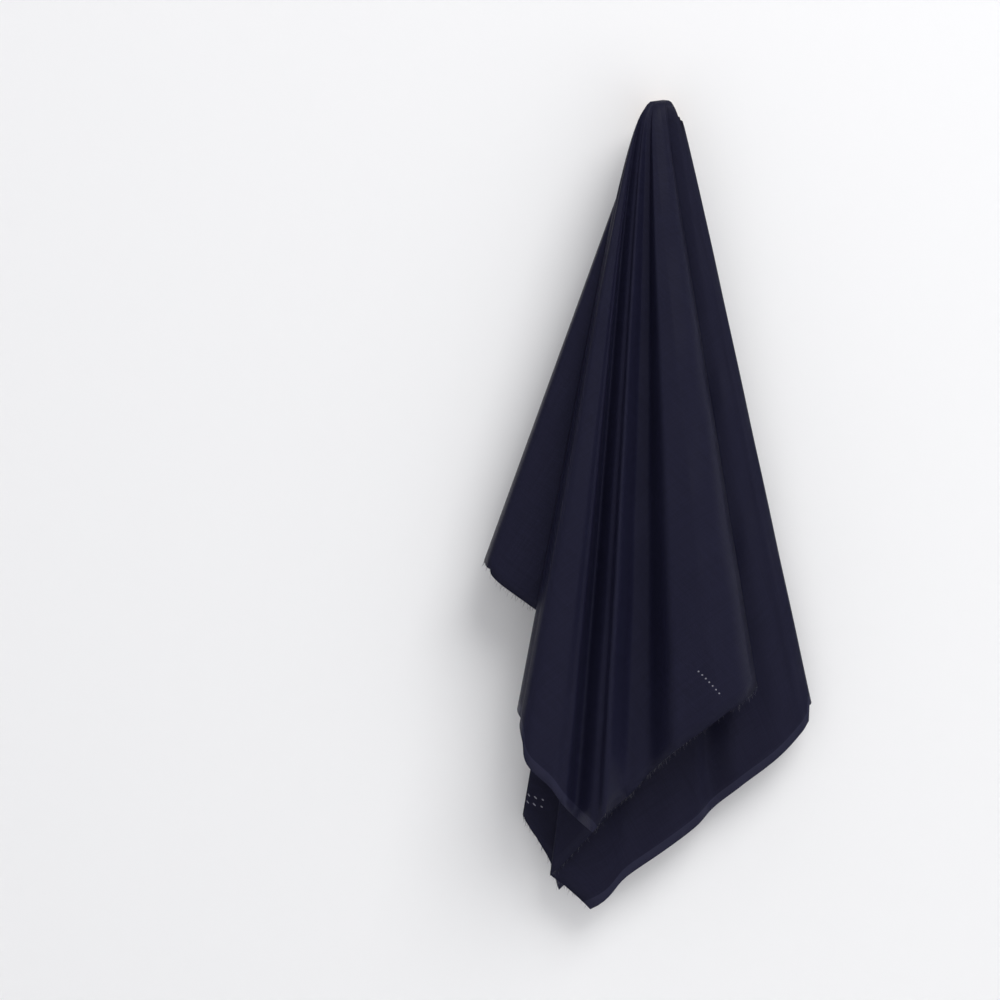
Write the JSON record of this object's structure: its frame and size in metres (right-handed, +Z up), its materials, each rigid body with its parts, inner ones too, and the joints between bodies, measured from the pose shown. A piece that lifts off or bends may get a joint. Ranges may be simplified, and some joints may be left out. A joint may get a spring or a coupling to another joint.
{
  "type": "hanging fabric length",
  "caption": "Cut length of dark satin lining cloth hung by its middle in soft folds from a turned wooden wall peg.",
  "frame": {"origin": "centre of the peg's foot, on the wall's face", "axes": "+Z up, +Y into the wall, +X to the right of a person who faces the wall"},
  "size_m": [0.3111, 0.1443, 0.7689],
  "materials": {
    "lining_cloth": "dark navy satin weave with a soft lustre",
    "beech": "turned beech with a thin oil finish",
    "zinc_steel": "bright zinc plate",
    "nylon": "moulded grey nylon"
  },
  "bodies": {
    "holder": {"peg": "beech", "dowel_screw": "zinc_steel", "wall_plug": "nylon"},
    "cloth": {"cloth": "lining_cloth"}
  },
  "joints": [
    {"name": "cloth_pull_off", "type": "slide", "parent": "holder", "child": "cloth", "axis": [0, -1, 0], "range_m": [0, 0.06]}
  ]
}
